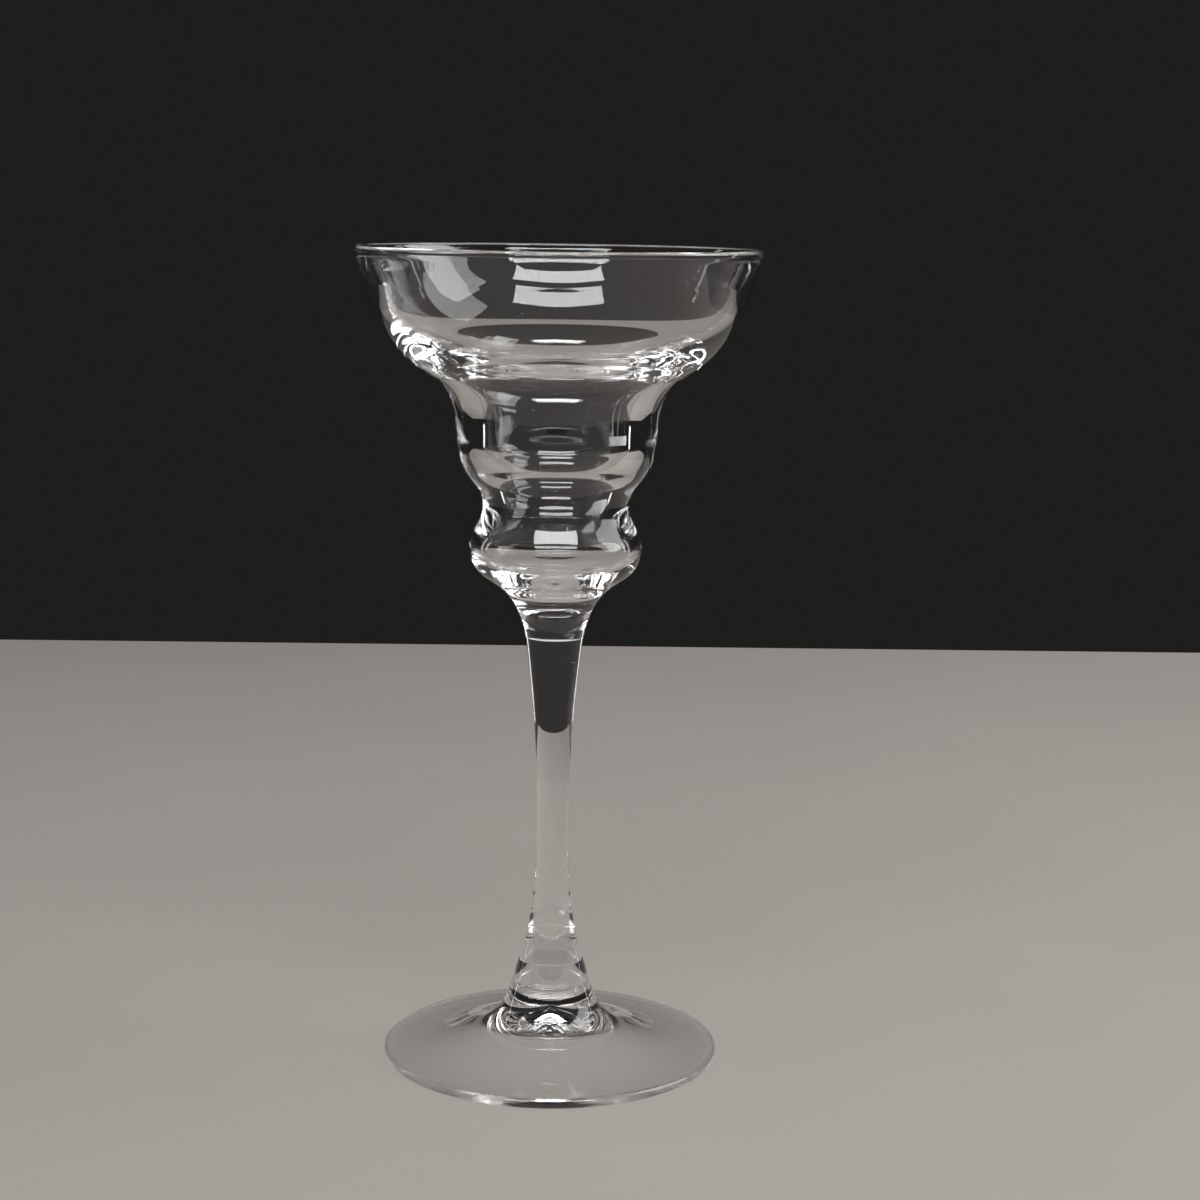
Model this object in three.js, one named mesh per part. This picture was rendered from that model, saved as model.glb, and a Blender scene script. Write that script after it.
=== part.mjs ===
// A tall stemmed sherbet glass of clear glass, made as three gathers that are joined hot:
// a blown bowl with a stepped wall, a solid drawn stem and a pressed foot.
// Millimetres, +Z up. The origin is the centre of the foot, on the surface that the glass stands on.

import * as THREE from "three";

// The three pieces stack at two flat hot joints, where the glass above or below stands a little proud.
const FOOT_HEIGHT = 17;
const STEM_LENGTH = 78;
const FOOT_JOINT_STEP = 0.1;
const FOOT_JOINT_ROUND = 0.25;
const BOWL_JOINT_STEP = 0.05;
const BOWL_JOINT_ROUND = 0.1;

// Foot, top side: a thin rim with a round edge, then a skirt that steepens like a trumpet up to a collar.
const FOOT_DIAMETER = 75;
const FOOT_RIM_THICKNESS = 2.2;
const FOOT_RIM_ROUND = 1.05;
const SKIRT_RADIUS = 25.1;
const SKIRT_HEIGHT = 2.45;
const SKIRT_ROUND = 43;
const COLLAR_ROOT_RADIUS = 14.65;
const COLLAR_ROOT_HEIGHT = 7.05;
const COLLAR_ROOT_ROUND = 15;
const COLLAR_RADIUS = 10.6;
const COLLAR_HEIGHT = 10.85;
const COLLAR_ROUND = 7.5;

// Foot, underside: a ring that the glass stands on, and inside it a hollow that follows the skirt up to a
// peak below the collar.
const REST_RING_WIDTH = 2.4;
const REST_RING_ROUND = 3;
const HOLLOW_REACH = 0.9;
const SKIRT_WALL = 2.1;
const HOLLOW_ROUND = 40;
const KICK_WALL = 4.4;
const KICK_DROP = 0.55;
const KICK_ROUND = 25;
const KICK_PEAK_RISE = 3.75;

// Stem: two flares that are drawn out to a waist. A reach is how far the waist stays slim each way.
const STEM_BASE_DIAMETER = 16.8;
const STEM_WAIST_DIAMETER = 7;
const STEM_TOP_DIAMETER = 12.6;
const STEM_WAIST_HEIGHT = 34.5;
const STEM_BASE_FLARE_LENGTH = 6.1;
const STEM_BASE_FLARE_DRAW = 1.05;
const STEM_WAIST_REACH_DOWN = 23.7;
const STEM_WAIST_REACH_UP = 11;
const STEM_TOP_FLARE_LENGTH = 20.5;
const STEM_TOP_FLARE_DRAW = 2.6;

// Bowl, outside: the corners that the rounded profile is drawn round, each a rise above the one below.
const NECK_DIAMETER = 13.5;
const NECK_RISE = 2.2;
const NECK_ROUND = 0.5;
const THROAT_DIAMETER = 18.8;
const THROAT_RISE = 7.2;
const THROAT_ROUND = 14;
const BULB_DIAMETER = 42.7;
const BULB_RISE = 8.15;
const BULB_ROUND = 7.5;
const WAIST_DIAMETER = 28.7;
const WAIST_RISE = 12.4;
const WAIST_ROUND = 7.5;
const TIER_DIAMETER = 41.9;
const TIER_RISE = 7.6;
const TIER_ROUND = 12;
const CUP_ROOT_DIAMETER = 45.7;
const CUP_ROOT_RISE = 16.95;
const CUP_ROOT_ROUND = 10.4;
const CUP_SHOULDER_DIAMETER = 76;
const CUP_SHOULDER_RISE = 9.25;
const CUP_SHOULDER_ROUND = 24.3;
const CUP_WALL_RISE = 21.25;
const RIM_DIAMETER = 88;
const RIM_BEAD = 1.3;
const RIM_BEAD_UNDERCUT = THREE.MathUtils.degToRad(30);

// Bowl, inside: one corner below the lip, then corners that lie a wall inward of the outside's corners and
// are raised above them.
const LIP_INSET = 4.3;
const LIP_DEPTH = 7.35;
const LIP_ROUND = 25;
const CUP_SHOULDER_WALL = 3.35;
const CUP_SHOULDER_RAISE = 1.75;
const CUP_SHOULDER_INNER_ROUND = 25.8;
const CUP_ROOT_WALL = 7.5;
const CUP_ROOT_RAISE = 3.6;
const CUP_ROOT_INNER_ROUND = 23.6;
const TIER_WALL = 4.65;
const TIER_RAISE = 3.35;
const TIER_INNER_ROUND = 10.7;
const WAIST_WALL = 6.05;
const WAIST_RAISE = 1.55;
const WAIST_INNER_ROUND = 13.7;
const BULB_WALL = 2.8;
const BULB_RAISE = 1.6;
const BULB_INNER_ROUND = 4.1;
const BULB_FLOOR_RADIUS = 5.55;
const BULB_FLOOR_THICKNESS = 10.7;
const BULB_FLOOR_ROUND = 13.2;

// Fineness of the facets.
const SIDES = 56;
const ARC_SAG = 0.085;
const FLARE_STEPS = 12;
const BEAD_STEPS = 7;
const LEG_SHARE = 0.98;

/** A point of an outline at a radius and a height, with the radius of the arc that rounds it off. */
function corner(radius, height, round = 0) {
  return { point: new THREE.Vector2(radius, height), round };
}

/** The arc that would round off corner i: its legs, half the angle between them, its tangent length. */
function bendAt(corners, i) {
  const { point, round } = corners[i];
  if (round === 0) return null;
  const back = corners[i - 1].point.clone().sub(point).normalize();
  const ahead = corners[i + 1].point.clone().sub(point).normalize();
  const half = Math.acos(back.dot(ahead)) / 2;
  return { back, ahead, half, tangent: round / Math.tan(half) };
}

/** Shortens the tangents of neighbouring arcs where the leg between them is too short for both. */
function shareLegs(corners, bends) {
  for (let i = 0; i + 1 < corners.length; i++) {
    const ends = [bends[i], bends[i + 1]].filter(Boolean);
    const wanted = ends.reduce((sum, bend) => sum + bend.tangent, 0);
    const room = LEG_SHARE * corners[i].point.distanceTo(corners[i + 1].point);
    if (wanted <= room) continue;
    for (const bend of ends) bend.tangent *= room / wanted;
  }
}

/** The points of the arc that rounds off a corner, from its first leg to its second. */
function arcPoints(point, { back, ahead, half, tangent }) {
  const sweep = Math.PI - 2 * half;
  const turn = -Math.sign(back.cross(ahead)) * sweep;
  const toCentre = tangent / Math.cos(half);
  const centre = back.clone().add(ahead).setLength(toCentre).add(point);
  const start = back.clone().multiplyScalar(tangent).add(point);
  const radius = tangent * Math.tan(half);
  const widestStep = 2 * Math.acos(Math.max(0, 1 - ARC_SAG / radius));
  const steps = Math.ceil(sweep / widestStep);
  return Array.from({ length: steps + 1 }, (_, k) =>
    start.clone().rotateAround(centre, (turn * k) / steps),
  );
}

/** An outline of straight legs and arcs through a row of corners. */
function roundedOutline(corners) {
  const bends = corners.map((_, i) => bendAt(corners, i));
  shareLegs(corners, bends);
  return corners.flatMap(({ point }, i) => (bends[i] ? arcPoints(point, bends[i]) : [point]));
}

/** Heights of the bowl's outside corners above its joint with the stem. */
function bowlHeights() {
  const neck = NECK_RISE;
  const throat = neck + THROAT_RISE;
  const bulb = throat + BULB_RISE;
  const waist = bulb + WAIST_RISE;
  const tier = waist + TIER_RISE;
  const cupRoot = tier + CUP_ROOT_RISE;
  const cupShoulder = cupRoot + CUP_SHOULDER_RISE;
  const rim = cupShoulder + CUP_WALL_RISE;
  return { neck, throat, bulb, waist, tier, cupRoot, cupShoulder, rim };
}

/** The fire-polished bead round the mouth, from the outer wall over to the inner wall. */
function rimBead(rimHeight) {
  const radius = RIM_BEAD / 2;
  const centreRadius = RIM_DIAMETER / 2 - radius;
  const centreHeight = rimHeight - radius;
  const arc = new THREE.ArcCurve(centreRadius, centreHeight, radius, -RIM_BEAD_UNDERCUT, Math.PI);
  return arc.getPoints(BEAD_STEPS);
}

/** The bowl's outside, from the axis at the joint up to the bead. */
function bowlOutside(height, beadFoot) {
  const jointRadius = STEM_TOP_DIAMETER / 2 + BOWL_JOINT_STEP;
  return roundedOutline([
    corner(0, 0),
    corner(jointRadius, 0, BOWL_JOINT_ROUND),
    corner(NECK_DIAMETER / 2, height.neck, NECK_ROUND),
    corner(THROAT_DIAMETER / 2, height.throat, THROAT_ROUND),
    corner(BULB_DIAMETER / 2, height.bulb, BULB_ROUND),
    corner(WAIST_DIAMETER / 2, height.waist, WAIST_ROUND),
    corner(TIER_DIAMETER / 2, height.tier, TIER_ROUND),
    corner(CUP_ROOT_DIAMETER / 2, height.cupRoot, CUP_ROOT_ROUND),
    corner(CUP_SHOULDER_DIAMETER / 2, height.cupShoulder, CUP_SHOULDER_ROUND),
    corner(beadFoot.x, beadFoot.y),
  ]);
}

/** The bowl's inside, from the bead down to the axis at the floor of the bulb. */
function bowlInside(height, beadEnd) {
  const inward = (diameter, wall, outerHeight, raise, round) =>
    corner(diameter / 2 - wall, outerHeight + raise, round);
  return roundedOutline([
    corner(beadEnd.x, beadEnd.y),
    corner(RIM_DIAMETER / 2 - LIP_INSET, height.rim - LIP_DEPTH, LIP_ROUND),
    inward(
      CUP_SHOULDER_DIAMETER,
      CUP_SHOULDER_WALL,
      height.cupShoulder,
      CUP_SHOULDER_RAISE,
      CUP_SHOULDER_INNER_ROUND,
    ),
    inward(CUP_ROOT_DIAMETER, CUP_ROOT_WALL, height.cupRoot, CUP_ROOT_RAISE, CUP_ROOT_INNER_ROUND),
    inward(TIER_DIAMETER, TIER_WALL, height.tier, TIER_RAISE, TIER_INNER_ROUND),
    inward(WAIST_DIAMETER, WAIST_WALL, height.waist, WAIST_RAISE, WAIST_INNER_ROUND),
    inward(BULB_DIAMETER, BULB_WALL, height.bulb, BULB_RAISE, BULB_INNER_ROUND),
    corner(BULB_FLOOR_RADIUS, BULB_FLOOR_THICKNESS, BULB_FLOOR_ROUND),
    corner(0, BULB_FLOOR_THICKNESS),
  ]);
}

/** The bowl's closed outline: up the outside, over the bead and down the inside. */
function bowlOutline() {
  const height = bowlHeights();
  const bead = rimBead(height.rim);
  const outside = bowlOutside(height, bead.at(0));
  const inside = bowlInside(height, bead.at(-1));
  return [...outside, ...bead.slice(1, -1), ...inside];
}

/** The solid stem's outline, from its joint with the foot to its joint with the bowl. */
function stemOutline() {
  const base = new THREE.Vector2(STEM_BASE_DIAMETER / 2, 0);
  const waist = new THREE.Vector2(STEM_WAIST_DIAMETER / 2, STEM_WAIST_HEIGHT);
  const top = new THREE.Vector2(STEM_TOP_DIAMETER / 2, STEM_LENGTH);
  const lowerFlare = new THREE.CubicBezierCurve(
    base,
    new THREE.Vector2(base.x - STEM_BASE_FLARE_DRAW, STEM_BASE_FLARE_LENGTH),
    new THREE.Vector2(waist.x, waist.y - STEM_WAIST_REACH_DOWN),
    waist,
  );
  const upperFlare = new THREE.CubicBezierCurve(
    waist,
    new THREE.Vector2(waist.x, waist.y + STEM_WAIST_REACH_UP),
    new THREE.Vector2(top.x - STEM_TOP_FLARE_DRAW, top.y - STEM_TOP_FLARE_LENGTH),
    top,
  );
  return [
    new THREE.Vector2(0, 0),
    ...lowerFlare.getPoints(FLARE_STEPS),
    ...upperFlare.getPoints(FLARE_STEPS).slice(1),
    new THREE.Vector2(0, STEM_LENGTH),
  ];
}

/** The foot's closed outline: out along the hollow underside, round the rim and up to the joint. */
function footOutline() {
  const footRadius = FOOT_DIAMETER / 2;
  const jointRadius = STEM_BASE_DIAMETER / 2 + FOOT_JOINT_STEP;
  const kickHeight = COLLAR_ROOT_HEIGHT - KICK_DROP;
  return roundedOutline([
    corner(0, kickHeight + KICK_PEAK_RISE),
    corner(COLLAR_ROOT_RADIUS - KICK_WALL, kickHeight, KICK_ROUND),
    corner(SKIRT_RADIUS + HOLLOW_REACH, SKIRT_HEIGHT - SKIRT_WALL, HOLLOW_ROUND),
    corner(footRadius - REST_RING_WIDTH, 0, REST_RING_ROUND),
    corner(footRadius, 0, FOOT_RIM_ROUND),
    corner(footRadius, FOOT_RIM_THICKNESS, FOOT_RIM_ROUND),
    corner(SKIRT_RADIUS, SKIRT_HEIGHT, SKIRT_ROUND),
    corner(COLLAR_ROOT_RADIUS, COLLAR_ROOT_HEIGHT, COLLAR_ROOT_ROUND),
    corner(COLLAR_RADIUS, COLLAR_HEIGHT, COLLAR_ROUND),
    corner(jointRadius, FOOT_HEIGHT, FOOT_JOINT_ROUND),
    corner(0, FOOT_HEIGHT),
  ]);
}

/** Clear, polished, very faintly green glass. */
function clearGlass() {
  return new THREE.MeshStandardMaterial({
    color: 0xf1f6f4,
    roughness: 0.03,
    metalness: 0,
    transparent: true,
    opacity: 0.35,
  });
}

/** A named piece turned round the vertical axis from its outline, standing at a height. */
function turnedPiece(name, outline, standsAt) {
  const geometry = new THREE.LatheGeometry(outline, SIDES);
  geometry.rotateX(Math.PI / 2);
  const mesh = new THREE.Mesh(geometry, clearGlass());
  mesh.name = name;
  mesh.position.z = standsAt;
  return mesh;
}

const glass = new THREE.Group();
glass.name = "sherbet_glass";
glass.add(
  turnedPiece("foot", footOutline(), 0),
  turnedPiece("stem", stemOutline(), FOOT_HEIGHT),
  turnedPiece("bowl", bowlOutline(), FOOT_HEIGHT + STEM_LENGTH),
);

export default glass;
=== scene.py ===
"""A clear stemmed sherbet glass: a blown stepped bowl, a drawn stem and a pressed foot, joined hot.

The sizes of the glass are in millimetres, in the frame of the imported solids: +Z up, with the origin at the
centre of the foot on the table. Meshes and the studio are in metres. Every piece is turned round the axis by
one geometry-node tree, which lets the surface wander by about a hundredth of a millimetre, as it does on
glass that is worked hot.
"""

import logging
import math
from abc import ABC
from abc import abstractmethod
from dataclasses import dataclass
from enum import Enum
from typing import ClassVar

import bmesh
import bpy
from mathutils import Matrix
from mathutils import Vector


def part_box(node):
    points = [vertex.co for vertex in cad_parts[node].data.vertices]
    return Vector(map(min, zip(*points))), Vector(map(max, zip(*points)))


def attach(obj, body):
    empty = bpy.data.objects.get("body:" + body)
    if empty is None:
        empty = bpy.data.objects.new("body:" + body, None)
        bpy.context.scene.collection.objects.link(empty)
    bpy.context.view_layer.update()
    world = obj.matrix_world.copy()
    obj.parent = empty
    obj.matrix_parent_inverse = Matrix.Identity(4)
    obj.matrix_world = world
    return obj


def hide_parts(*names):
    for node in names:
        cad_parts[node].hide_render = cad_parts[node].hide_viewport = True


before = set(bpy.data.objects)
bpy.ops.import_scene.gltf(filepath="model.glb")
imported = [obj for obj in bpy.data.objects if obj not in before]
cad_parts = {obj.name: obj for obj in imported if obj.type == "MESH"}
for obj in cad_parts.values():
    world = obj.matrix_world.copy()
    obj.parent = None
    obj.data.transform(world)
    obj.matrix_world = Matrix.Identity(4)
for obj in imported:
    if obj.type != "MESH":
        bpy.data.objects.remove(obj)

Socket = bpy.types.NodeSocket

LOG = logging.getLogger("sherbet_glass")
MM = 0.001
# The stretch of a pattern that is alike all ways.
EVEN = (1.0, 1.0, 1.0)


class Working(Enum):
    """How a piece of the glass was worked while it was hot, which sets the grain of its surface."""

    BLOWN = "blown"
    DRAWN = "drawn"
    PRESSED = "pressed"


@dataclass(frozen=True)
class Corner:
    """A corner of an outline in millimetres, with the radius of the arc that rounds it off."""

    radius: float
    height: float
    round: float = 0.0

    def point(self) -> Vector:
        """The corner as a point of the outline's plane."""
        return Vector((self.radius, self.height))

    def raised(self, lift: float) -> "Corner":
        """The same corner, higher up."""
        return Corner(self.radius, self.height + lift, self.round)


@dataclass(frozen=True)
class Station:
    """One point of a finished outline in millimetres.

    It is still where the surface keeps its place, and joint on a flat face that is fused to the next piece.
    """

    radius: float
    height: float
    still: bool = False
    joint: bool = False


class Outline:
    """An outline of straight legs and arcs, drawn round a row of corners.

    Attributes:
        ARC_STEP: the largest turn between two points of an arc, in radians.
        LEAST_ARC_STEPS: how many steps the smallest arc has.
        LEG_STEP: about how far apart the points of a leg are, in millimetres.
        LEG_SHARE: how much of a leg the arcs at its two ends may take up.
    """

    ARC_STEP: ClassVar[float] = math.radians(4.0)
    LEAST_ARC_STEPS: ClassVar[int] = 2
    LEG_STEP: ClassVar[float] = 1.6
    LEG_SHARE: ClassVar[float] = 0.98

    def __init__(self, corners: list[Corner]) -> None:
        """Keeps the corners and works out the arc at each.

        Args:
            corners: the corners in order, the first and the last without an arc.
        """
        self.corners = corners
        self.tangents = [self._tangent(i) for i in range(len(corners))]
        self._share_legs()

    def _legs(self, i: int) -> tuple[Vector, Vector]:
        """Finds the directions of the two legs that meet at a corner.

        Args:
            i: the corner's index.

        Returns:
            The unit vectors towards the corners before and after it.
        """
        here = self.corners[i].point()
        back = self.corners[i - 1].point() - here
        ahead = self.corners[i + 1].point() - here
        return back.normalized(), ahead.normalized()

    def _half_angle(self, i: int) -> float:
        """Half the angle between the legs of corner i, in radians."""
        back, ahead = self._legs(i)
        return math.acos(max(-1.0, min(1.0, back.dot(ahead)))) / 2

    def _tangent(self, i: int) -> float:
        """Works out how far the arc at a corner would reach along its legs.

        Args:
            i: the corner's index.

        Returns:
            The reach in millimetres, or 0 for a corner without an arc.
        """
        if self.corners[i].round == 0:
            return 0.0
        return self.corners[i].round / math.tan(self._half_angle(i))

    def _share_legs(self) -> None:
        """Shortens the arcs of neighbouring corners where the leg between them is too short for both."""
        for i in range(len(self.corners) - 1):
            wanted = self.tangents[i] + self.tangents[i + 1]
            leg = self.corners[i + 1].point() - self.corners[i].point()
            room = self.LEG_SHARE * leg.length
            if wanted > room:
                self.tangents[i] *= room / wanted
                self.tangents[i + 1] *= room / wanted

    def _arc(self, i: int) -> list[Vector]:
        """Draws the arc at a corner.

        Args:
            i: the corner's index.

        Returns:
            The arc's points from its first leg to its second, or the bare corner where it has no arc.
        """
        here = self.corners[i].point()
        tangent = self.tangents[i]
        if tangent == 0:
            return [here]
        back, ahead = self._legs(i)
        half = self._half_angle(i)
        sweep = math.pi - 2 * half
        side = math.copysign(1.0, back.x * ahead.y - back.y * ahead.x)
        centre = here + (back + ahead).normalized() * (tangent / math.cos(half))
        spoke = here + back * tangent - centre
        steps = max(self.LEAST_ARC_STEPS, math.ceil(sweep / self.ARC_STEP))
        turns = [Matrix.Rotation(-side * sweep * k / steps, 2) for k in range(steps + 1)]
        return [centre + turn @ spoke for turn in turns]

    def _leg(self, start: Vector, end: Vector) -> list[Vector]:
        """The points between two ends of a straight leg, without the ends."""
        steps = max(1, round((end - start).length / self.LEG_STEP))
        return [start.lerp(end, k / steps) for k in range(1, steps)]

    def points(self) -> list[Vector]:
        """Draws the whole outline, with long legs cut into even steps.

        Returns:
            The outline's points in order.
        """
        drawn: list[Vector] = []
        for i in range(len(self.corners)):
            arc = self._arc(i)
            if drawn:
                drawn += self._leg(drawn[-1], arc[0])
            drawn += arc
        return drawn


class Nodes:
    """Shorthand for building a node tree."""

    def __init__(self, tree: bpy.types.NodeTree) -> None:
        """Clears the tree and keeps it."""
        self.tree = tree
        self.tree.nodes.clear()

    @classmethod
    def of_new_material(cls, name: str) -> tuple[bpy.types.Material, "Nodes"]:
        """Starts a new material.

        Args:
            name: the material's name.

        Returns:
            The material and its empty tree.
        """
        material = bpy.data.materials.new(name)
        material.use_nodes = True
        return material, cls(material.node_tree)

    def add(self, kind: str, **settings: object) -> bpy.types.Node:
        """Adds a node.

        Args:
            kind: the node's type.
            **settings: its properties.

        Returns:
            The new node.
        """
        node = self.tree.nodes.new(kind)
        for name, value in settings.items():
            setattr(node, name, value)
        return node

    def link(self, source: Socket, into: Socket) -> None:
        """Joins an output to an input."""
        self.tree.links.new(source, into)

    def maths(self, operation: str, a: Socket | float, b: Socket | float = 0.0) -> Socket:
        """Adds a Math node on two sockets or numbers.

        Args:
            operation: the Math node's operation.
            a: its first input, a socket or a number.
            b: its second input, a socket or a number.

        Returns:
            The node's output socket.
        """
        node = self.add("ShaderNodeMath", operation=operation)
        for into, source in zip(node.inputs, (a, b)):
            if isinstance(source, Socket):
                self.link(source, into)
            else:
                into.default_value = source
        return node.outputs[0]

    def span(self, value: Socket, low: float, high: float, at_low: float, at_high: float) -> Socket:
        """Maps a value between two ends to another span, and holds it there beyond them.

        Args:
            value: the value to map.
            low: its lower end.
            high: its upper end.
            at_low: the result at the lower end.
            at_high: the result at the upper end.

        Returns:
            The mapped value.
        """
        node = self.add("ShaderNodeMapRange")
        for name, number in zip(("From Min", "From Max", "To Min", "To Max"), (low, high, at_low, at_high)):
            node.inputs[name].default_value = number
        self.link(value, node.inputs["Value"])
        return node.outputs["Result"]

    def object_place(self) -> Socket:
        """The point that is shaded, on the piece's own coordinates."""
        return self.add("ShaderNodeTexCoord").outputs["Object"]

    def object_noise(self, stretch: tuple[float, float, float], scale: float, detail: float) -> Socket:
        """Adds a noise on the piece's own coordinates.

        Args:
            stretch: the scale of the coordinates along X, Y and Z.
            scale: the noise's scale, in waves a metre.
            detail: how many finer octaves it has.

        Returns:
            The noise's value.
        """
        mapping = self.add("ShaderNodeMapping")
        mapping.inputs["Scale"].default_value = stretch
        self.link(self.object_place(), mapping.inputs["Vector"])
        noise = self.add("ShaderNodeTexNoise")
        noise.inputs["Scale"].default_value = scale
        noise.inputs["Detail"].default_value = detail
        self.link(mapping.outputs[0], noise.inputs["Vector"])
        return noise.outputs[0]

    def surface(self, shader: bpy.types.Node) -> None:
        """Ends a material's tree with this shader."""
        result = self.add("ShaderNodeOutputMaterial")
        self.link(shader.outputs[0], result.inputs["Surface"])


class TurningTree:
    """A geometry-node tree that turns an outline round the Z axis and lets its surface wander a little.

    The outline comes in as a row of mesh points (radius, 0, height) with two named attributes: "still" is 1
    where the surface keeps its place, and "joint" is 1 on the flat faces that are fused to the next piece.

    Attributes:
        WELD: how close two points are that become one, in metres.
        NOISE_MIDDLE: the value that the noise swings round.
        CREASE: the angle past which an edge is shaded sharp, in radians.
        WHOLLY: the least mean of a flag on a face that has it at every corner.
        EMPTY_SLOT: the slot that new faces start in, which none uses once the materials are set.
    """

    NAME: ClassVar[str] = "turned_glass"
    FLAGS: ClassVar[tuple[str, str]] = ("still", "joint")
    WELD: ClassVar[float] = 1e-7
    WANDER_DETAIL: ClassVar[float] = 1.0
    NOISE_MIDDLE: ClassVar[float] = 0.5
    CREASE: ClassVar[float] = math.radians(38.0)
    WHOLLY: ClassVar[float] = 0.999
    EMPTY_SLOT: ClassVar[int] = 0

    def __init__(self) -> None:
        """Builds the tree with its named inputs."""
        self.tree = bpy.data.node_groups.new(self.NAME, "GeometryNodeTree")
        self.nodes = Nodes(self.tree)
        self.sockets: dict[str, str] = {}
        self._add_sockets()
        self._wire()

    def _add_sockets(self) -> None:
        face = self.tree.interface
        kinds = (
            ("Outline", "NodeSocketGeometry"),
            ("Sides", "NodeSocketInt"),
            ("Wander", "NodeSocketFloat"),
            ("Wander Scale", "NodeSocketFloat"),
            ("Wander Stretch", "NodeSocketVector"),
            ("Seed", "NodeSocketFloat"),
            ("Glass", "NodeSocketMaterial"),
            ("Joint", "NodeSocketMaterial"),
        )
        for name, kind in kinds:
            socket = face.new_socket(name=name, in_out="INPUT", socket_type=kind)
            self.sockets[name] = socket.identifier
        face.new_socket(name="Piece", in_out="OUTPUT", socket_type="NodeSocketGeometry")

    def _sampled(self, outline: Socket, kind: str, value: Socket, row: Socket) -> Socket:
        """Reads what the outline's point in a row of the grid holds.

        Args:
            outline: the outline's geometry.
            kind: the data type of the value.
            value: the field to read on the outline.
            row: the point's index.

        Returns:
            A socket with the value at that point.
        """
        sample = self.nodes.add("GeometryNodeSampleIndex", data_type=kind, domain="POINT")
        link = self.nodes.link
        link(outline, sample.inputs["Geometry"])
        link(value, sample.inputs["Value"])
        link(row, sample.inputs["Index"])
        return sample.outputs["Value"]

    def _named(self, name: str) -> Socket:
        """Reads a named float attribute of the geometry in hand.

        Args:
            name: the attribute's name.

        Returns:
            The attribute's value.
        """
        node = self.nodes.add("GeometryNodeInputNamedAttribute", data_type="FLOAT")
        node.inputs["Name"].default_value = name
        return node.outputs["Attribute"]

    def _kept(self, geometry: Socket, name: str, value: Socket) -> Socket:
        """Stores a float on the points of a geometry.

        Args:
            geometry: the geometry.
            name: the name to store it under.
            value: the value to store.

        Returns:
            The geometry with the value on it.
        """
        store = self.nodes.add("GeometryNodeStoreNamedAttribute", data_type="FLOAT", domain="POINT")
        store.inputs["Name"].default_value = name
        self.nodes.link(geometry, store.inputs["Geometry"])
        self.nodes.link(value, store.inputs["Value"])
        return store.outputs["Geometry"]

    def _grid(self, outline: Socket, sides: Socket) -> tuple[Socket, Socket, Socket]:
        """Lays out a flat grid with one column a side and one row a station.

        Args:
            outline: the outline's geometry.
            sides: how many sides the piece has.

        Returns:
            The grid, and each point's row and the angle of its column, where the last column is the first.
        """
        link = self.nodes.link
        maths = self.nodes.maths
        size = self.nodes.add("GeometryNodeAttributeDomainSize", component="MESH")
        link(outline, size.inputs["Geometry"])
        stations = size.outputs["Point Count"]
        grid = self.nodes.add("GeometryNodeMeshGrid")
        link(maths("ADD", sides, 1.0), grid.inputs["Vertices X"])
        link(stations, grid.inputs["Vertices Y"])
        index = self.nodes.add("GeometryNodeInputIndex").outputs[0]
        column = maths("FLOOR", maths("DIVIDE", index, stations))
        row = maths("SUBTRACT", index, maths("MULTIPLY", column, stations))
        share = maths("DIVIDE", maths("MODULO", column, sides), sides)
        return grid.outputs["Mesh"], row, maths("MULTIPLY", share, math.tau)

    def _place(self, outline: Socket, row: Socket, angle: Socket) -> Socket:
        """Works out where a point of the grid goes on the turned piece.

        Args:
            outline: the outline's geometry.
            row: the index of the point's station.
            angle: the point's angle round the axis.

        Returns:
            Its place, at the station's radius and height.
        """
        link = self.nodes.link
        position = self.nodes.add("GeometryNodeInputPosition").outputs[0]
        station = self.nodes.add("ShaderNodeSeparateXYZ")
        link(self._sampled(outline, "FLOAT_VECTOR", position, row), station.inputs[0])
        place = self.nodes.add("ShaderNodeCombineXYZ")
        for axis, operation in (("X", "COSINE"), ("Y", "SINE")):
            part = self.nodes.maths(operation, angle)
            link(self.nodes.maths("MULTIPLY", station.outputs["X"], part), place.inputs[axis])
        link(station.outputs["Z"], place.inputs["Z"])
        return place.outputs[0]

    def _turned(self, given: bpy.types.Node) -> Socket:
        """Wraps the grid round the axis and closes it.

        Args:
            given: the tree's inputs.

        Returns:
            The turned piece, with the outline's flags on its points.
        """
        link = self.nodes.link
        outline = given.outputs["Outline"]
        geometry, row, angle = self._grid(outline, given.outputs["Sides"])
        for name in self.FLAGS:
            flag = self._sampled(outline, "FLOAT", self._named(name), row)
            geometry = self._kept(geometry, name, flag)
        placed = self.nodes.add("GeometryNodeSetPosition")
        link(geometry, placed.inputs["Geometry"])
        link(self._place(outline, row, angle), placed.inputs["Position"])
        closed = self.nodes.add("GeometryNodeMergeByDistance")
        closed.inputs["Distance"].default_value = self.WELD
        link(placed.outputs[0], closed.inputs["Geometry"])
        return closed.outputs[0]

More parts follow.
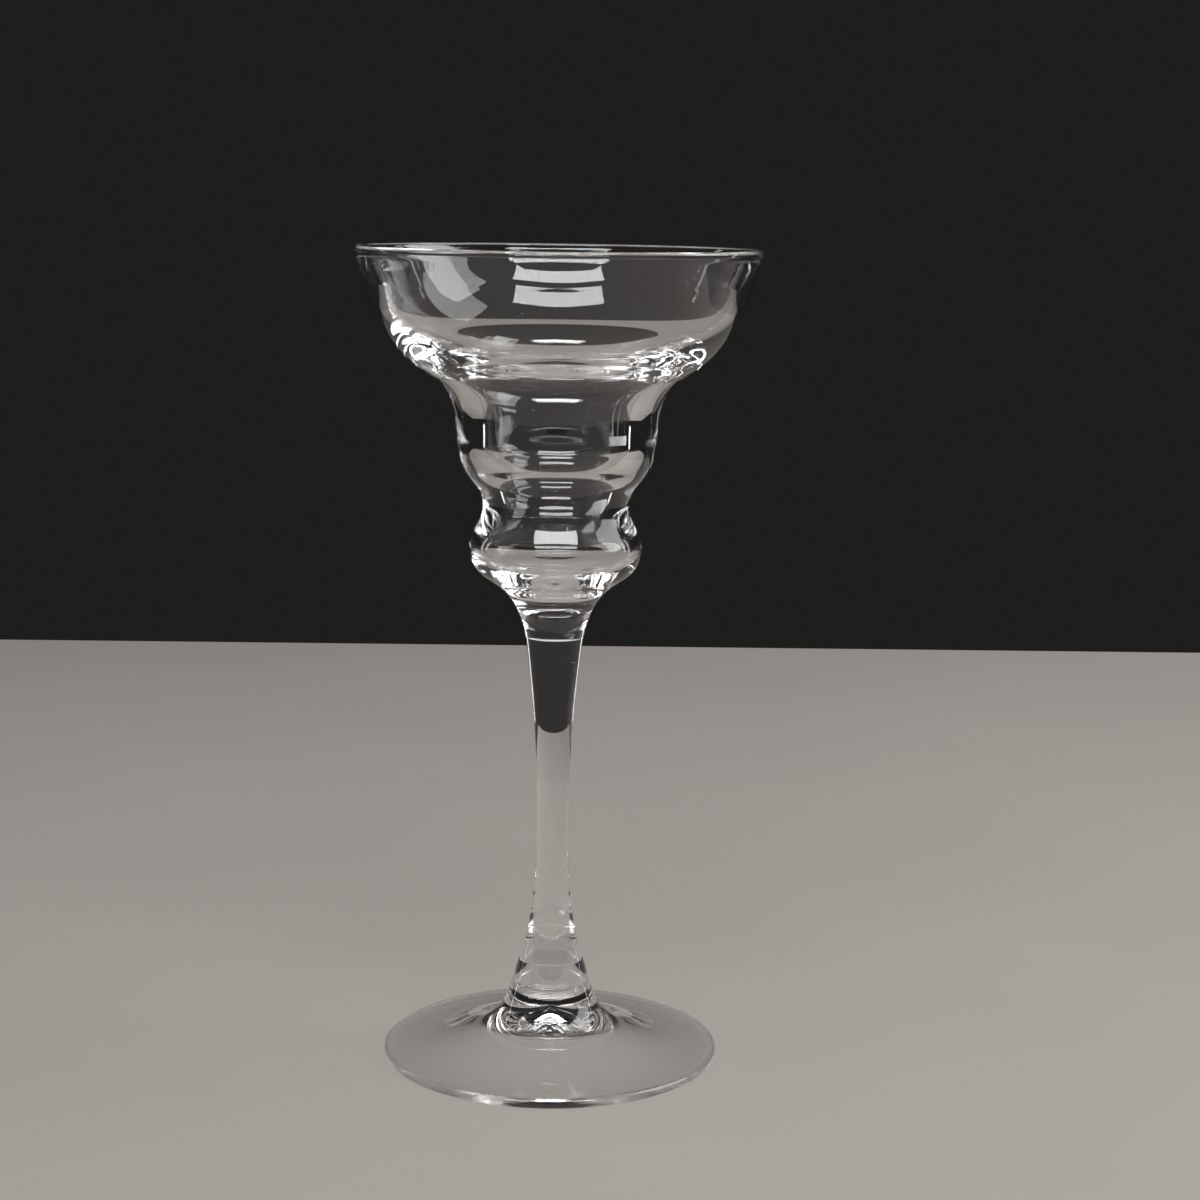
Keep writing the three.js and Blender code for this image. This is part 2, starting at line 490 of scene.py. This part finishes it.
    def _wandering(self, given: bpy.types.Node, geometry: Socket) -> Socket:
        """Moves each point that isn't still along its normal, by a slow noise.

        Args:
            given: the tree's inputs.
            geometry: the turned piece.

        Returns:
            The piece with its surface moved.
        """
        link = self.nodes.link
        stretched = self.nodes.add("ShaderNodeVectorMath", operation="MULTIPLY")
        link(self.nodes.add("GeometryNodeInputPosition").outputs[0], stretched.inputs[0])
        link(given.outputs["Wander Stretch"], stretched.inputs[1])
        noise = self.nodes.add("ShaderNodeTexNoise", noise_dimensions="4D")
        noise.inputs["Detail"].default_value = self.WANDER_DETAIL
        link(stretched.outputs[0], noise.inputs["Vector"])
        link(given.outputs["Seed"], noise.inputs["W"])
        link(given.outputs["Wander Scale"], noise.inputs["Scale"])
        swing = self.nodes.maths("SUBTRACT", noise.outputs[0], self.NOISE_MIDDLE)
        free = self.nodes.maths("SUBTRACT", 1.0, self._named("still"))
        free_swing = self.nodes.maths("MULTIPLY", swing, free)
        height = self.nodes.maths("MULTIPLY", free_swing, given.outputs["Wander"])
        offset = self.nodes.add("ShaderNodeVectorMath", operation="SCALE")
        link(self.nodes.add("GeometryNodeInputNormal").outputs[0], offset.inputs[0])
        link(height, offset.inputs["Scale"])
        moved = self.nodes.add("GeometryNodeSetPosition")
        link(geometry, moved.inputs["Geometry"])
        link(offset.outputs[0], moved.inputs["Offset"])
        return moved.outputs[0]

    def _smooth(self, geometry: Socket) -> Socket:
        """Shades the faces smooth and the creases of the joints sharp.

        Args:
            geometry: the turned piece.

        Returns:
            The piece with its shading set.
        """
        link = self.nodes.link
        faces = self.nodes.add("GeometryNodeSetShadeSmooth", domain="FACE")
        link(geometry, faces.inputs["Geometry"])
        angle = self.nodes.add("GeometryNodeInputMeshEdgeAngle").outputs["Unsigned Angle"]
        creases = self.nodes.add("GeometryNodeSetShadeSmooth", domain="EDGE")
        creases.inputs["Shade Smooth"].default_value = False
        link(faces.outputs[0], creases.inputs["Geometry"])
        link(self.nodes.maths("GREATER_THAN", angle, self.CREASE), creases.inputs["Selection"])
        return creases.outputs[0]

    def _wire(self) -> None:
        """Joins the steps: turn, wander, shade, realize, and set the materials of glass and joints."""
        link = self.nodes.link
        given = self.nodes.add("NodeGroupInput")
        geometry = self._smooth(self._wandering(given, self._turned(given)))
        real = self.nodes.add("GeometryNodeRealizeInstances")
        link(geometry, real.inputs[0])
        glass = self.nodes.add("GeometryNodeSetMaterial")
        link(real.outputs[0], glass.inputs["Geometry"])
        link(given.outputs["Glass"], glass.inputs["Material"])
        fused = self.nodes.add("GeometryNodeSetMaterial")
        link(glass.outputs[0], fused.inputs["Geometry"])
        on_joint = self.nodes.maths("GREATER_THAN", self._named("joint"), self.WHOLLY)
        link(on_joint, fused.inputs["Selection"])
        link(given.outputs["Joint"], fused.inputs["Material"])
        result = self.nodes.add("NodeGroupOutput")
        link(fused.outputs[0], result.inputs[0])

    def turn(self, name: str, stations: list[Station], values: dict[str, object]) -> bpy.types.Object:
        """Turns an outline and keeps the result as a plain mesh.

        Args:
            name: the piece's name.
            stations: the outline, from the axis back to the axis.
            values: the tree's inputs by name, apart from the outline.

        Returns:
            A mesh object at the origin with the turned piece.
        """
        source = bpy.data.objects.new(name + "_outline", self._outline_mesh(name, stations))
        bpy.context.scene.collection.objects.link(source)
        modifier = source.modifiers.new("turning", "NODES")
        modifier.node_group = self.tree
        for label, value in values.items():
            modifier[self.sockets[label]] = value
        evaluated = source.evaluated_get(bpy.context.evaluated_depsgraph_get())
        mesh = bpy.data.meshes.new_from_object(evaluated)
        mesh.name = name
        mesh.materials.pop(index=self.EMPTY_SLOT)
        source.modifiers.remove(modifier)
        bpy.data.objects.remove(source)
        piece = bpy.data.objects.new(name, mesh)
        bpy.context.scene.collection.objects.link(piece)
        return piece

    def _outline_mesh(self, name: str, stations: list[Station]) -> bpy.types.Mesh:
        """Makes the outline a row of mesh points with its flags.

        Args:
            name: the piece's name.
            stations: the outline's points.

        Returns:
            The row as a mesh.
        """
        mesh = bpy.data.meshes.new(name + "_outline")
        points = [(s.radius * MM, 0.0, s.height * MM) for s in stations]
        edges = [(i, i + 1) for i in range(len(points) - 1)]
        mesh.from_pydata(points, edges, [])
        for label in self.FLAGS:
            flags = mesh.attributes.new(label, "FLOAT", "POINT")
            flags.data.foreach_set("value", [float(getattr(s, label)) for s in stations])
        return mesh


class Finish(ABC):
    """What a face of the glass or of the table is made of."""

    @abstractmethod
    def material(self) -> bpy.types.Material:
        """Builds the finish's material."""


@dataclass(frozen=True)
class Grain:
    """The faint lines that working leaves: how they stretch along X, Y and Z, and their waves a metre."""

    stretch: tuple[float, float, float]
    scale: float


@dataclass(frozen=True)
class ClearGlass(Finish):
    """Clear glass: how it was worked sets the grain of the surface, which is fire-polished.

    Attributes:
        shade: the share of a lamp's light that passes each surface on its way to what is behind.
        film: the roughness of the faint film where the glass was handled, in patches of film_scale waves a
            metre, between the two values of their noise in film_span.
        scuff: the roughness of the ring that the glass stands on, up to scuff_height in millimetres.
        ripple_height: the height of the lines that working leaves, in millimetres.
    """

    working: Working
    shade: float
    ior: float = 1.52
    film: float = 0.014
    film_scale: float = 38.0
    film_detail: float = 3.0
    film_span: tuple[float, float] = (0.45, 0.75)
    scuff: float = 0.2
    scuff_height: float = 0.12
    ripple_height: float = 0.0016
    ripple_detail: float = 1.0

    GRAIN: ClassVar[dict[Working, Grain]] = {
        Working.BLOWN: Grain(stretch=(1.0, 1.0, 5.0), scale=70.0),
        Working.DRAWN: Grain(stretch=(6.0, 6.0, 0.35), scale=110.0),
        Working.PRESSED: Grain(stretch=EVEN, scale=160.0),
    }

    def material(self) -> bpy.types.Material:
        """Builds the material.

        Returns:
            Glass that bends and mirrors light, and lets most of a lamp's light through to what it stands on.
        """
        material, nodes = Nodes.of_new_material(f"{self.working.value}_glass")
        glass = nodes.add("ShaderNodeBsdfPrincipled")
        glass.inputs["Base Color"].default_value = (1.0, 1.0, 1.0, 1.0)
        glass.inputs["Transmission Weight"].default_value = 1.0
        glass.inputs["IOR"].default_value = self.ior
        roughness = nodes.maths("MAXIMUM", self._film(nodes), self._scuffs(nodes))
        nodes.link(roughness, glass.inputs["Roughness"])
        nodes.link(self._ripples(nodes), glass.inputs["Normal"])
        shadow = nodes.add("ShaderNodeBsdfTransparent")
        shadow.inputs["Color"].default_value = (self.shade, self.shade, self.shade, 1.0)
        path = nodes.add("ShaderNodeLightPath")
        either = nodes.add("ShaderNodeMixShader")
        nodes.link(path.outputs["Is Shadow Ray"], either.inputs[0])
        nodes.link(glass.outputs[0], either.inputs[1])
        nodes.link(shadow.outputs[0], either.inputs[2])
        nodes.surface(either)
        return material

    def _film(self, nodes: Nodes) -> Socket:
        """A roughness that is nearly nothing, with a faint film where the glass was handled."""
        noise = nodes.object_noise(EVEN, self.film_scale, self.film_detail)
        return nodes.span(noise, *self.film_span, 0.0, self.film)

    def _scuffs(self, nodes: Nodes) -> Socket:
        """Dulls the ring that the glass stands on, where tables wear it.

        Args:
            nodes: the material's tree.

        Returns:
            The roughness of the scuffs.
        """
        place = nodes.add("ShaderNodeSeparateXYZ")
        nodes.link(nodes.object_place(), place.inputs[0])
        return nodes.span(place.outputs["Z"], 0.0, self.scuff_height * MM, self.scuff, 0.0)

    def _ripples(self, nodes: Nodes) -> Socket:
        """Draws the lines that working leaves: round a blown bowl, along a drawn stem, all ways on a foot.

        Args:
            nodes: the material's tree.

        Returns:
            The normal of the rippled surface.
        """
        grain = self.GRAIN[self.working]
        bump = nodes.add("ShaderNodeBump")
        bump.inputs["Strength"].default_value = 1.0
        bump.inputs["Distance"].default_value = self.ripple_height * MM
        nodes.link(nodes.object_noise(grain.stretch, grain.scale, self.ripple_detail), bump.inputs["Height"])
        return bump.outputs["Normal"]


@dataclass(frozen=True)
class Seam(Finish):
    """The seam in the core of a hot joint: clear to look through, and a white line seen edge on.

    Attributes:
        core_radius: how far it reaches from the axis, in millimetres, with core_blur to either side.
        edge_power: how quickly it clears when it is seen less than edge on.
        PLAIN_BLEND: the blend at which the facing weight is one minus the cosine of the angle of view.
    """

    white: float = 0.9
    core_radius: float = 4.3
    core_blur: float = 0.3
    edge_power: float = 3.5

    PLAIN_BLEND: ClassVar[float] = 0.5
    ACROSS: ClassVar[tuple[float, float, float]] = (1.0, 1.0, 0.0)

    def material(self) -> bpy.types.Material:
        """Builds the material.

        Returns:
            A face that is clear face on, and inside the core scatters light edge on.
        """
        material, nodes = Nodes.of_new_material("joint_seam")
        skin = nodes.add("ShaderNodeBsdfPrincipled")
        skin.inputs["Base Color"].default_value = (self.white, self.white, self.white, 1.0)
        skin.inputs["Roughness"].default_value = 1.0
        skin.inputs["Specular IOR Level"].default_value = 0.0
        weight = nodes.add("ShaderNodeLayerWeight")
        weight.inputs["Blend"].default_value = self.PLAIN_BLEND
        edge_on = nodes.maths("POWER", weight.outputs["Facing"], self.edge_power)
        nodes.link(nodes.maths("MULTIPLY", edge_on, self._core(nodes)), skin.inputs["Alpha"])
        nodes.surface(skin)
        return material

    def _core(self, nodes: Nodes) -> Socket:
        """Marks the core round the axis.

        Args:
            nodes: the material's tree.

        Returns:
            1 in the core and 0 outside it.
        """
        flat = nodes.add("ShaderNodeVectorMath", operation="MULTIPLY")
        flat.inputs[1].default_value = self.ACROSS
        nodes.link(nodes.object_place(), flat.inputs[0])
        radius = nodes.add("ShaderNodeVectorMath", operation="LENGTH")
        nodes.link(flat.outputs[0], radius.inputs[0])
        inner = (self.core_radius - self.core_blur) * MM
        outer = (self.core_radius + self.core_blur) * MM
        return nodes.span(radius.outputs["Value"], inner, outer, 1.0, 0.0)


@dataclass(frozen=True)
class FusedFace(Finish):
    """The inside of a hot joint, where two pieces are one glass and nothing bends the light."""

    def material(self) -> bpy.types.Material:
        """Builds the material.

        Returns:
            A face that light passes straight through.
        """
        material, nodes = Nodes.of_new_material("fused_joint")
        nodes.surface(nodes.add("ShaderNodeBsdfTransparent"))
        return material


class Piece(ABC):
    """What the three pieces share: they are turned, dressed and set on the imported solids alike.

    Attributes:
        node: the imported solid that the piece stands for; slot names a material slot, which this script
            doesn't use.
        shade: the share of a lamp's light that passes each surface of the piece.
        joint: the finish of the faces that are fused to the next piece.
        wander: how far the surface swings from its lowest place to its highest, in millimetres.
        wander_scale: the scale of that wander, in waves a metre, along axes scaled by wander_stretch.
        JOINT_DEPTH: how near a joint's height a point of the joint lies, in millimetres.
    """

    node: ClassVar[str]
    slot: ClassVar[str]
    working: ClassVar[Working]
    shade: ClassVar[float] = 0.93
    joint: ClassVar[Finish] = FusedFace()
    sides: ClassVar[int] = 224
    wander: ClassVar[float] = 0.03
    wander_scale: ClassVar[float]
    wander_stretch: ClassVar[tuple[float, float, float]] = EVEN
    seed: ClassVar[float]

    JOINT_DEPTH: ClassVar[float] = 1e-4

    @abstractmethod
    def stations(self) -> list[Station]:
        """The piece's outline from the axis back to the axis."""

    def build(self, tree: TurningTree) -> bpy.types.Object:
        """Turns the piece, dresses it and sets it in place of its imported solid.

        Args:
            tree: the turning tree.

        Returns:
            The finished piece.
        """
        glass = ClearGlass(self.working, self.shade).material()
        values = {
            "Sides": self.sides,
            "Wander": self.wander * MM,
            "Wander Scale": self.wander_scale,
            "Wander Stretch": self.wander_stretch,
            "Seed": self.seed,
            "Glass": glass,
            "Joint": self.joint.material(),
        }
        piece = tree.turn(f"glass_{self.node}", self.stations(), values)
        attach(piece, "root")
        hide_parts(self.node)
        return piece


@dataclass
class Foot(Piece):
    """The pressed foot: a thin rim, a skirt that steepens to a collar, and a hollow underside.

    From the rim inwards, the skirt, the collar's root and the collar are corners of the top side, and the
    hollow and the kick are corners of the underside, which peaks on the axis. The ring that the glass stands
    on is just inside the rim. Below STILL_HEIGHT the surface keeps its place, so that the foot stands flat.
    """

    joint_height: float
    diameter: float = 75.0
    joint_radius: float = 8.5
    joint_round: float = 0.25
    rim_thickness: float = 2.2
    rim_round: float = 1.05
    rest_ring_width: float = 2.4
    rest_ring_round: float = 3.0
    skirt: Corner = Corner(25.1, 2.45, 43.0)
    collar_root: Corner = Corner(14.65, 7.05, 15.0)
    collar: Corner = Corner(10.6, 10.85, 7.5)
    hollow: Corner = Corner(26.0, 0.35, 40.0)
    kick: Corner = Corner(10.25, 6.5, 25.0)
    kick_peak: float = 10.25

    node: ClassVar[str] = "foot"
    slot: ClassVar[str] = "foot_glass"
    working: ClassVar[Working] = Working.PRESSED
    shade: ClassVar[float] = 1.0
    wander_scale: ClassVar[float] = 45.0
    seed: ClassVar[float] = 2.0

    STILL_HEIGHT: ClassVar[float] = 0.05

    def stations(self) -> list[Station]:
        """Draws the outline out along the underside, round the rim and up to the joint.

        Returns:
            The outline's stations.
        """
        radius = self.diameter / 2
        outline = Outline([
            Corner(0.0, self.kick_peak),
            self.kick,
            self.hollow,
            Corner(radius - self.rest_ring_width, 0.0, self.rest_ring_round),
            Corner(radius, 0.0, self.rim_round),
            Corner(radius, self.rim_thickness, self.rim_round),
            self.skirt,
            self.collar_root,
            self.collar,
            Corner(self.joint_radius, self.joint_height, self.joint_round),
            Corner(0.0, self.joint_height),
        ])
        return [self._station(p) for p in outline.points()]

    def _station(self, p: Vector) -> Station:
        """A point of the outline, still on the table and at the joint."""
        at_joint = p.y > self.joint_height - self.JOINT_DEPTH
        return Station(p.x, p.y, still=at_joint or p.y < self.STILL_HEIGHT, joint=at_joint)


@dataclass
class Stem(Piece):
    """The solid stem, drawn out between two flares.

    Each flare is a cubic curve, and the two meet at the slimmest place, waist_height above the foot's joint.
    base_flare and top_flare say how far the handles at the ends go in and along the stem, and waist_reach
    how far the handles at the waist go down and up. The base is fused to the foot inside fused_base_radius.
    """

    joint_heights: tuple[float, float]
    base_diameter: float = 16.8
    waist_diameter: float = 7.0
    top_diameter: float = 12.6
    waist_height: float = 34.5
    base_flare: tuple[float, float] = (1.05, 6.1)
    waist_reach: tuple[float, float] = (23.7, 11.0)
    top_flare: tuple[float, float] = (2.6, 20.5)
    steps: int = 64
    fused_base_radius: float = 8.25

    node: ClassVar[str] = "stem"
    slot: ClassVar[str] = "stem_glass"
    working: ClassVar[Working] = Working.DRAWN
    wander_scale: ClassVar[float] = 40.0
    wander_stretch: ClassVar[tuple[float, float, float]] = (2.0, 2.0, 0.6)
    seed: ClassVar[float] = 5.0

    def stations(self) -> list[Station]:
        """Draws the outline from the joint with the foot up to the joint with the bowl.

        Returns:
            The outline's stations.
        """
        low, high = self.joint_heights
        base = Vector((self.base_diameter / 2, low))
        waist = Vector((self.waist_diameter / 2, low + self.waist_height))
        top = Vector((self.top_diameter / 2, high))
        base_handle = base + Vector((-self.base_flare[0], self.base_flare[1]))
        waist_below = waist - Vector((0.0, self.waist_reach[0]))
        waist_above = waist + Vector((0.0, self.waist_reach[1]))
        top_handle = top - Vector(self.top_flare)
        lower = self._flare(base, base_handle, waist_below, waist)
        upper = self._flare(waist, waist_above, top_handle, top)
        sides = [Station(p.x, p.y) for p in lower[1:] + upper[1:-1]]
        return [
            Station(0.0, low, still=True, joint=True),
            Station(self.fused_base_radius, low, still=True, joint=True),
            Station(base.x, low, still=True),
            *sides,
            Station(top.x, high, still=True, joint=True),
            Station(0.0, high, still=True, joint=True),
        ]

    def _flare(self, a: Vector, b: Vector, c: Vector, d: Vector) -> list[Vector]:
        """Draws a cubic curve.

        Args:
            a: where it starts.
            b: the handle of its start.
            c: the handle of its end.
            d: where it ends.

        Returns:
            The curve's points, with both ends.
        """
        shares = [k / self.steps for k in range(self.steps + 1)]
        return [
            a * (1 - t) ** 3 + b * 3 * t * (1 - t) ** 2 + c * 3 * t * t * (1 - t) + d * t ** 3
            for t in shares
        ]


@dataclass
class Bowl(Piece):
    """The blown bowl: a cup, a tier, a waist and a bulb, with a thick wall and a solid base.

    The heights of its corners are measured from the joint with the stem. The neck is the crease ring just
    above that joint. The rim's bead starts bead_undercut below its middle, in radians, on the outside.
    """

    joint_height: float
    rim_height: float
    rim_diameter: float = 88.0
    rim_bead: float = 1.3
    bead_undercut: float = math.radians(30.0)
    joint_radius: float = 6.35
    joint_round: float = 0.1
    neck: Corner = Corner(6.75, 2.2, 0.5)
    throat: Corner = Corner(9.4, 9.4, 14.0)
    bulb: Corner = Corner(21.35, 17.55, 7.5)
    waist: Corner = Corner(14.35, 29.95, 7.5)
    tier: Corner = Corner(20.95, 37.55, 12.0)
    cup_root: Corner = Corner(22.85, 54.5, 10.4)
    cup_shoulder: Corner = Corner(38.0, 63.75, 24.3)
    lip_inside: Corner = Corner(39.7, 77.65, 25.0)
    shoulder_inside: Corner = Corner(34.65, 65.5, 25.8)
    root_inside: Corner = Corner(15.35, 58.1, 23.6)
    tier_inside: Corner = Corner(16.3, 40.9, 10.7)
    waist_inside: Corner = Corner(8.3, 31.5, 13.7)
    bulb_inside: Corner = Corner(18.55, 19.15, 4.1)
    floor_edge: Corner = Corner(5.55, 10.7, 13.2)
    floor_thickness: float = 10.7

    node: ClassVar[str] = "bowl"
    slot: ClassVar[str] = "bowl_glass"
    working: ClassVar[Working] = Working.BLOWN
    joint: ClassVar[Finish] = Seam()
    wander_scale: ClassVar[float] = 34.0
    wander_stretch: ClassVar[tuple[float, float, float]] = (1.0, 1.0, 1.6)
    seed: ClassVar[float] = 9.0

    BEAD_STEPS: ClassVar[int] = 28

    def stations(self) -> list[Station]:
        """Draws the outline up the outside from the joint, over the rim's bead and down the inside.

        Returns:
            The outline's stations.
        """
        bead = self._bead()
        lift = self.joint_height
        low_outside = (self.neck, self.throat, self.bulb, self.waist)
        high_outside = (self.tier, self.cup_root, self.cup_shoulder)
        high_inside = (self.lip_inside, self.shoulder_inside, self.root_inside, self.tier_inside)
        low_inside = (self.waist_inside, self.bulb_inside, self.floor_edge)
        up = Outline([
            Corner(0.0, lift),
            Corner(self.joint_radius, lift, self.joint_round),
            *[corner.raised(lift) for corner in low_outside + high_outside],
            Corner(bead[0].x, bead[0].y),
        ]).points()
        down = Outline([
            Corner(bead[-1].x, bead[-1].y),
            *[corner.raised(lift) for corner in high_inside + low_inside],
            Corner(0.0, lift + self.floor_thickness),
        ]).points()
        return [self._station(p) for p in up + bead[1:-1] + down]

    def _bead(self) -> list[Vector]:
        """Draws the fire-polished bead round the mouth.

        Returns:
            Its points from the outer wall over to the inner wall.
        """
        radius = self.rim_bead / 2
        centre = Vector((self.rim_diameter / 2 - radius, self.rim_height - radius))
        sweep = math.pi + self.bead_undercut
        angles = [sweep * k / self.BEAD_STEPS - self.bead_undercut for k in range(self.BEAD_STEPS + 1)]
        return [centre + radius * Vector((math.cos(a), math.sin(a))) for a in angles]

    def _station(self, p: Vector) -> Station:
        """A point of the outline, still at the joint and on the rim's bead."""
        at_joint = p.y < self.joint_height + self.JOINT_DEPTH
        return Station(p.x, p.y, still=at_joint or p.y > self.rim_height - self.rim_bead, joint=at_joint)


@dataclass(frozen=True)
class PaleTable(Finish):
    """The finish of the table: plain, pale, matt, with a faint unevenness.

    Attributes:
        mottle: how far the unevenness goes to either side of the colour, as a share.
        mottle_scale: the scale of the unevenness, in waves a metre.
        MIX_FIRST, MIX_SECOND: where a Mix node takes its colours, after its inputs of other kinds.
        MIX_COLOUR: where it gives the mixed colour.
    """

    colour: tuple[float, float, float] = (0.38, 0.35, 0.325)
    mottle: float = 0.05
    mottle_scale: float = 9.0
    mottle_detail: float = 4.0
    roughness: float = 0.9

    MIX_FIRST: ClassVar[int] = 6
    MIX_SECOND: ClassVar[int] = 7
    MIX_COLOUR: ClassVar[int] = 2

    def material(self) -> bpy.types.Material:
        """Builds the material.

        Returns:
            A matt surface in two close tones.
        """
        material, nodes = Nodes.of_new_material("pale_table")
        surface = nodes.add("ShaderNodeBsdfPrincipled")
        surface.inputs["Roughness"].default_value = self.roughness
        surface.inputs["Specular IOR Level"].default_value = 0.0
        tone = nodes.add("ShaderNodeMix", data_type="RGBA")
        light = tuple(c * (1 + self.mottle) for c in self.colour)
        dark = tuple(c * (1 - self.mottle) for c in self.colour)
        tone.inputs[self.MIX_FIRST].default_value = (*dark, 1.0)
        tone.inputs[self.MIX_SECOND].default_value = (*light, 1.0)
        mottle = nodes.object_noise(EVEN, self.mottle_scale, self.mottle_detail)
        nodes.link(mottle, tone.inputs[0])
        nodes.link(tone.outputs[self.MIX_COLOUR], surface.inputs["Base Color"])
        nodes.surface(surface)
        return material


@dataclass(frozen=True)
class Softbox:
    """A soft rectangular lamp aimed at the glass, with lengths in metres and angles in degrees.

    Azimuth 0 is the camera's side, and it turns towards +X. The elevation and the distance are taken from
    the point that the lamp is aimed at.
    """

    name: str
    azimuth: float
    elevation: float
    distance: float
    width: float
    height: float
    watts: float
    aim: tuple[float, float, float] = (0.0, 0.0, 0.11)

    @classmethod
    def strip(cls, name: str, azimuth: float) -> "Softbox":
        """A dim upright strip, low behind one side of the glass, which draws a line along its edge."""
        return cls(name, azimuth, elevation=8.0, distance=1.4, width=0.07, height=0.7, watts=0.62)

    def build(self) -> bpy.types.Object:
        """Adds the lamp to the scene.

        Returns:
            The lamp, which the camera doesn't see.
        """
        lamp = bpy.data.lights.new(self.name, "AREA")
        lamp.shape = "RECTANGLE"
        lamp.size = self.width
        lamp.size_y = self.height
        lamp.energy = self.watts
        item = bpy.data.objects.new(self.name, lamp)
        bpy.context.scene.collection.objects.link(item)
        turn = math.radians(self.azimuth)
        rise = math.radians(self.elevation)
        away = Vector((math.sin(turn) * math.cos(rise), -math.cos(turn) * math.cos(rise), math.sin(rise)))
        item.location = Vector(self.aim) + away * self.distance
        item.rotation_euler = away.to_track_quat("Z", "Y").to_euler()
        item.visible_camera = False
        return item


@dataclass
class Studio:
    """The table, the plain dark surround, the lamps and the camera.

    Lengths are in metres, apart from the sensor's width in millimetres, and angles are in radians. The
    table's ends are along X and its sides along Y, which points away from the camera.

    Attributes:
        focal_px: the camera's focal length, in pixels of a frame that is frame_px wide.
        bounces: how many times light may bounce or pass through glass.
        clear_bounces: how many clear faces light may pass straight through.
        brightest: the brightness at which light that has bounced is cut off.
        ROUND_EDGE: the profile that makes a bevel an arc.
    """

    table_ends: tuple[float, float] = (-0.45, 0.45)
    table_sides: tuple[float, float] = (-0.45, 0.504)
    table_thickness: float = 0.03
    table_edge: float = 0.003
    table_edge_steps: int = 4
    surround: tuple[float, float, float] = (0.013, 0.0126, 0.0122)
    focal_px: float = 2418.0
    frame_px: float = 1200.0
    sensor: float = 36.0
    clip_start: float = 0.01
    camera_distance: float = 0.5247
    camera_height: float = 0.1904
    pitch: float = math.radians(9.42)
    roll: float = math.radians(0.83)
    yaw: float = math.radians(1.08)
    lamps: tuple[Softbox, ...] = (
        Softbox(
            "front_softbox",
            azimuth=0.0, elevation=52.5, distance=1.6, width=1.5, height=0.41, watts=26.0,
        ),
        Softbox(
            "right_softbox",
            azimuth=92.0, elevation=30.0, distance=1.2, width=0.7, height=1.0, watts=9.9,
        ),
        Softbox.strip("right_strip", azimuth=114.0),
        Softbox.strip("left_strip", azimuth=246.0),
    )
    bounces: int = 96
    clear_bounces: int = 32
    brightest: float = 20.0

    ROUND_EDGE: ClassVar[float] = 0.5

    def build(self) -> None:
        """Sets up everything round the glass."""
        self._table()
        self._surround()
        for lamp in self.lamps:
            lamp.build()
        self._camera()
        self._light_paths()

    def _table(self) -> None:
        """A pale table top with its surface at height 0 and a far edge that shows behind the glass."""
        left, right = self.table_ends
        near, far = self.table_sides
        shaped = bmesh.new()
        bmesh.ops.create_cube(shaped, size=1.0)
        bmesh.ops.scale(shaped, vec=(right - left, far - near, self.table_thickness), verts=shaped.verts)
        middle = ((left + right) / 2, (near + far) / 2, -self.table_thickness / 2)
        bmesh.ops.translate(shaped, vec=middle, verts=shaped.verts)
        bmesh.ops.bevel(
            shaped,
            geom=shaped.edges,
            offset=self.table_edge,
            segments=self.table_edge_steps,
            profile=self.ROUND_EDGE,
            affect="EDGES",
        )
        mesh = bpy.data.meshes.new("table")
        shaped.to_mesh(mesh)
        shaped.free()
        mesh.materials.append(PaleTable().material())
        table = bpy.data.objects.new("table", mesh)
        bpy.context.scene.collection.objects.link(table)

    def _surround(self) -> None:
        """A plain surround of one tone, the same to every ray and from every side."""
        world = bpy.data.worlds.new("surround")
        bpy.context.scene.world = world
        world.use_nodes = True
        background = world.node_tree.nodes["Background"]
        background.inputs["Color"].default_value = (*self.surround, 1.0)
        background.inputs["Strength"].default_value = 1.0

    def _camera(self) -> None:
        """The camera, a little higher than the rim and looking down at the glass."""
        lens = bpy.data.cameras.new("camera")
        lens.sensor_width = self.sensor
        lens.lens = self.focal_px / self.frame_px * self.sensor
        lens.clip_start = self.clip_start
        camera = bpy.data.objects.new("camera", lens)
        bpy.context.scene.collection.objects.link(camera)
        camera.matrix_world = self._camera_place()
        bpy.context.scene.camera = camera

    def _camera_place(self) -> Matrix:
        """Works out where the camera stands and how it is turned.

        Returns:
            The camera's place and turn as one matrix.
        """
        forward = Vector((
            math.sin(self.yaw) * math.cos(self.pitch),
            math.cos(self.yaw) * math.cos(self.pitch),
            -math.sin(self.pitch),
        ))
        level = Vector((math.cos(self.yaw), -math.sin(self.yaw), 0.0))
        upright = level.cross(forward)
        right = math.cos(self.roll) * level + math.sin(self.roll) * upright
        up = math.cos(self.roll) * upright - math.sin(self.roll) * level
        place = Matrix((right, up, -forward)).transposed().to_4x4()
        place.translation = Vector((0.0, -self.camera_distance, self.camera_height))
        return place

    def _light_paths(self) -> None:
        """Lets light pass the many walls of thick clear glass, without caustics, and sets a plain view.

        Caustics stay off because the glass lets the lamps' light through to the table by itself.
        """
        scene = bpy.context.scene
        scene.view_settings.view_transform = "Standard"
        scene.cycles.max_bounces = self.bounces
        scene.cycles.transmission_bounces = self.bounces
        scene.cycles.glossy_bounces = self.bounces
        scene.cycles.transparent_max_bounces = self.clear_bounces
        scene.cycles.blur_glossy = 0.0
        scene.cycles.caustics_reflective = False
        scene.cycles.caustics_refractive = False
        scene.cycles.sample_clamp_indirect = self.brightest
        scene.cycles.use_denoising = True


def main() -> None:
    """Builds the three pieces and the studio."""
    logging.basicConfig(level=logging.INFO, format="%(name)s: %(message)s")
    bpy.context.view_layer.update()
    foot_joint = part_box("stem")[0].z / MM
    bowl_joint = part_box("stem")[1].z / MM
    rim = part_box("bowl")[1].z / MM
    tree = TurningTree()
    for piece in (Foot(foot_joint), Stem((foot_joint, bowl_joint)), Bowl(bowl_joint, rim)):
        made = piece.build(tree)
        LOG.info("%s: %d faces", made.name, len(made.data.polygons))
    Studio().build()


if __name__ == "__main__":
    main()
